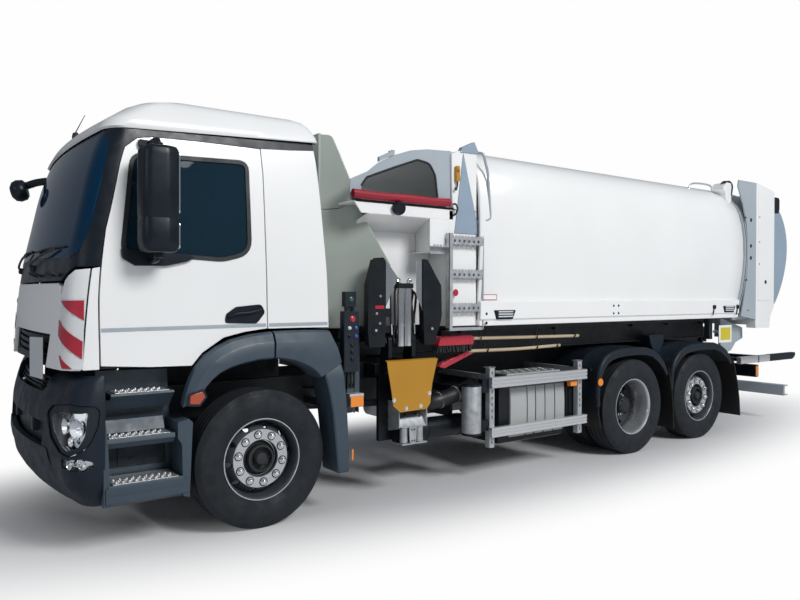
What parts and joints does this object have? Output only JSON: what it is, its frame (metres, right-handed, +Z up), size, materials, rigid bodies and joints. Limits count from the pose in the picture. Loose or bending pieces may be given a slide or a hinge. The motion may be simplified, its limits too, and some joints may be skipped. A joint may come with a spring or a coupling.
{
  "type": "side loading garbage truck",
  "caption": "Three-axle side loading refuse truck with tilting cab, side bin lifter, open hopper, tipping load body and lifting tailgate.",
  "frame": {"origin": "on the ground under the middle of the truck", "axes": "+X to the truck's left, +Y to its rear, +Z up"},
  "size_m": [2.9, 9.35, 3.1499],
  "materials": {
    "white_paint": "gloss white paint",
    "dark_plastic": "slate grey moulded plastic",
    "black_steel": "satin black paint",
    "frame_steel": "chassis paint",
    "tyre": "tyre rubber",
    "rim_silver": "silver wheel paint",
    "cast_iron": "cast and machined",
    "glass": "tinted glass",
    "lamp_clear": "clear lamp lens",
    "aluminium": "brushed",
    "grey_paint": "light grey paint",
    "yellow_paint": "yellow paint",
    "polished_steel": "polished tube",
    "curtain_red": "red coated cloth",
    "interior_plastic": "grained plastic",
    "seat_fabric": "woven seat cloth",
    "bell_paint": "pale blue grey paint"
  },
  "bodies": {
    "chassis": {"chassis_frame": "frame_steel", "engine_block": "cast_iron", "front_axle": "frame_steel", "drive_axle": "frame_steel", "tag_axle": "frame_steel", "bumper": "dark_plastic", "headlamps": "lamp_clear", "cab_steps": "dark_plastic", "mudguards": "dark_plastic", "side_guards": "aluminium", "side_boxes": "grey_paint", "fuel_tank": "aluminium", "control_panel": "black_steel", "rear_underrun": "aluminium", "lifter_base": "black_steel"},
    "cab": {"cab_shell": "white_paint", "windscreen": "glass", "cab_interior": "interior_plastic", "cab_seats": "seat_fabric", "cab_fenders": "dark_plastic"},
    "front_flap": {"front_flap": "white_paint", "grille": "dark_plastic"},
    "door_left": {"door_left": "white_paint", "door_glass_left": "glass", "mirror_left": "dark_plastic"},
    "door_right": {"door_right": "white_paint", "door_glass_right": "glass", "mirror_right": "dark_plastic"},
    "knuckle_front_left": {"knuckle_front_left": "cast_iron"},
    "knuckle_front_right": {"knuckle_front_right": "cast_iron"},
    "knuckle_tag_left": {"knuckle_tag_left": "cast_iron"},
    "knuckle_tag_right": {"knuckle_tag_right": "cast_iron"},
    "lifter_carriage": {"lifter_carriage": "black_steel", "lifter_shield": "yellow_paint"},
    "lifter_arm": {"lifter_arm": "polished_steel"},
    "jaw_front": {"jaw_front": "black_steel"},
    "jaw_rear": {"jaw_rear": "black_steel"},
    "load_body": {"body_shell": "white_paint", "body_subframe": "frame_steel", "hopper": "white_paint", "hopper_curtain": "curtain_red", "ladder": "aluminium"},
    "tailgate": {"tailgate": "grey_paint", "tailgate_bell": "bell_paint"},
    "hoist_barrel": {"hoist_barrel": "black_steel"},
    "hoist_rod": {"hoist_rod": "polished_steel"},
    "wheel_front_left": {"tyre_front_left": "tyre", "rim_front_left": "rim_silver"},
    "wheel_front_right": {"tyre_front_right": "tyre", "rim_front_right": "rim_silver"},
    "wheel_drive_left": {"tyre_drive_left": "tyre", "rim_drive_left": "rim_silver"},
    "wheel_drive_right": {"tyre_drive_right": "tyre", "rim_drive_right": "rim_silver"},
    "wheel_tag_left": {"tyre_tag_left": "tyre", "rim_tag_left": "rim_silver"},
    "wheel_tag_right": {"tyre_tag_right": "tyre", "rim_tag_right": "rim_silver"}
  },
  "joints": [
    {"name": "steer_front_left", "type": "hinge", "parent": "chassis", "child": "knuckle_front_left", "pos_m": [0.93, -3.225, 0.507], "axis": [0, 0, 1], "range_deg": [-35, 35]},
    {"name": "steer_tag_left", "type": "hinge", "parent": "chassis", "child": "knuckle_tag_left", "pos_m": [0.93, 2.425, 0.507], "axis": [0, 0, 1], "range_deg": [-15, 15]},
    {"name": "wheel_front_left_spin", "type": "hinge", "parent": "knuckle_front_left", "child": "wheel_front_left", "pos_m": [1.046, -3.225, 0.507], "axis": [1, 0, 0], "continuous": true},
    {"name": "wheel_tag_left_spin", "type": "hinge", "parent": "knuckle_tag_left", "child": "wheel_tag_left", "pos_m": [1.046, 2.425, 0.507], "axis": [1, 0, 0], "continuous": true},
    {"name": "wheel_drive_left_spin", "type": "hinge", "parent": "chassis", "child": "wheel_drive_left", "pos_m": [1.1, 1.075, 0.507], "axis": [1, 0, 0], "continuous": true},
    {"name": "steer_front_right", "type": "hinge", "parent": "chassis", "child": "knuckle_front_right", "pos_m": [-0.93, -3.225, 0.507], "axis": [0, 0, 1], "range_deg": [-35, 35]},
    {"name": "steer_tag_right", "type": "hinge", "parent": "chassis", "child": "knuckle_tag_right", "pos_m": [-0.93, 2.425, 0.507], "axis": [0, 0, 1], "range_deg": [-15, 15]},
    {"name": "wheel_front_right_spin", "type": "hinge", "parent": "knuckle_front_right", "child": "wheel_front_right", "pos_m": [-1.046, -3.225, 0.507], "axis": [1, 0, 0], "continuous": true},
    {"name": "wheel_tag_right_spin", "type": "hinge", "parent": "knuckle_tag_right", "child": "wheel_tag_right", "pos_m": [-1.046, 2.425, 0.507], "axis": [1, 0, 0], "continuous": true},
    {"name": "wheel_drive_right_spin", "type": "hinge", "parent": "chassis", "child": "wheel_drive_right", "pos_m": [-1.1, 1.075, 0.507], "axis": [1, 0, 0], "continuous": true},
    {"name": "cab_tilt", "type": "hinge", "parent": "chassis", "child": "cab", "pos_m": [0, -4.475, 0.85], "axis": [1, 0, 0], "range_deg": [0, 60]},
    {"name": "front_flap_hinge", "type": "hinge", "parent": "cab", "child": "front_flap", "pos_m": [0, -4.6, 1.768], "axis": [-1, 0, 0], "range_deg": [0, 85]},
    {"name": "door_left_hinge", "type": "hinge", "parent": "cab", "child": "door_left", "pos_m": [1.162, -4.347, 1.9], "axis": [0, 0, -1], "range_deg": [0, 72]},
    {"name": "door_right_hinge", "type": "hinge", "parent": "cab", "child": "door_right", "pos_m": [-1.162, -4.347, 1.9], "axis": [0, 0, 1], "range_deg": [0, 72]},
    {"name": "lifter_slide", "type": "slide", "parent": "chassis", "child": "lifter_carriage", "axis": [1, 0, 0], "range_m": [0, 0.85]},
    {"name": "lifter_lift", "type": "hinge", "parent": "lifter_carriage", "child": "lifter_arm", "pos_m": [1.12, -1.965, 1.325], "axis": [0, 1, 0], "range_deg": [0, 100]},
    {"name": "jaw_front_close", "type": "hinge", "parent": "lifter_arm", "child": "jaw_front", "pos_m": [1.2, -2.28, 1.425], "axis": [-1, 0, 0], "range_deg": [0, 10]},
    {"name": "jaw_rear_close", "type": "hinge", "parent": "lifter_arm", "child": "jaw_rear", "pos_m": [1.2, -1.71, 1.425], "axis": [1, 0, 0], "range_deg": [0, 10]},
    {"name": "body_tip", "type": "hinge", "parent": "chassis", "child": "load_body", "pos_m": [0, 3.775, 1.12], "axis": [-1, 0, 0], "range_deg": [0, 40]},
    {"name": "tailgate_lift", "type": "hinge", "parent": "load_body", "child": "tailgate", "pos_m": [0, 3.145, 3.17], "axis": [1, 0, 0], "range_deg": [0, 85]},
    {"name": "hoist_swing", "type": "hinge", "parent": "chassis", "child": "hoist_barrel", "pos_m": [0, 0.575, 0.87], "axis": [1, 0, 0], "range_deg": [0, 20]},
    {"name": "hoist_stroke", "type": "slide", "parent": "hoist_barrel", "child": "hoist_rod", "axis": [0, 0.9719, 0.2356], "range_m": [0, 0.83]}
  ],
  "couplings": [
    {"joint": "steer_front_right", "follows": "steer_front_left", "ratio": 1},
    {"joint": "steer_tag_left", "follows": "steer_front_left", "ratio": -0.4},
    {"joint": "steer_tag_right", "follows": "steer_front_left", "ratio": -0.4},
    {"joint": "jaw_rear_close", "follows": "jaw_front_close", "ratio": 1},
    {"joint": "hoist_swing", "follows": "body_tip", "ratio": 0.48},
    {"joint": "hoist_stroke", "follows": "body_tip", "m_per_rad": 1.163}
  ]
}
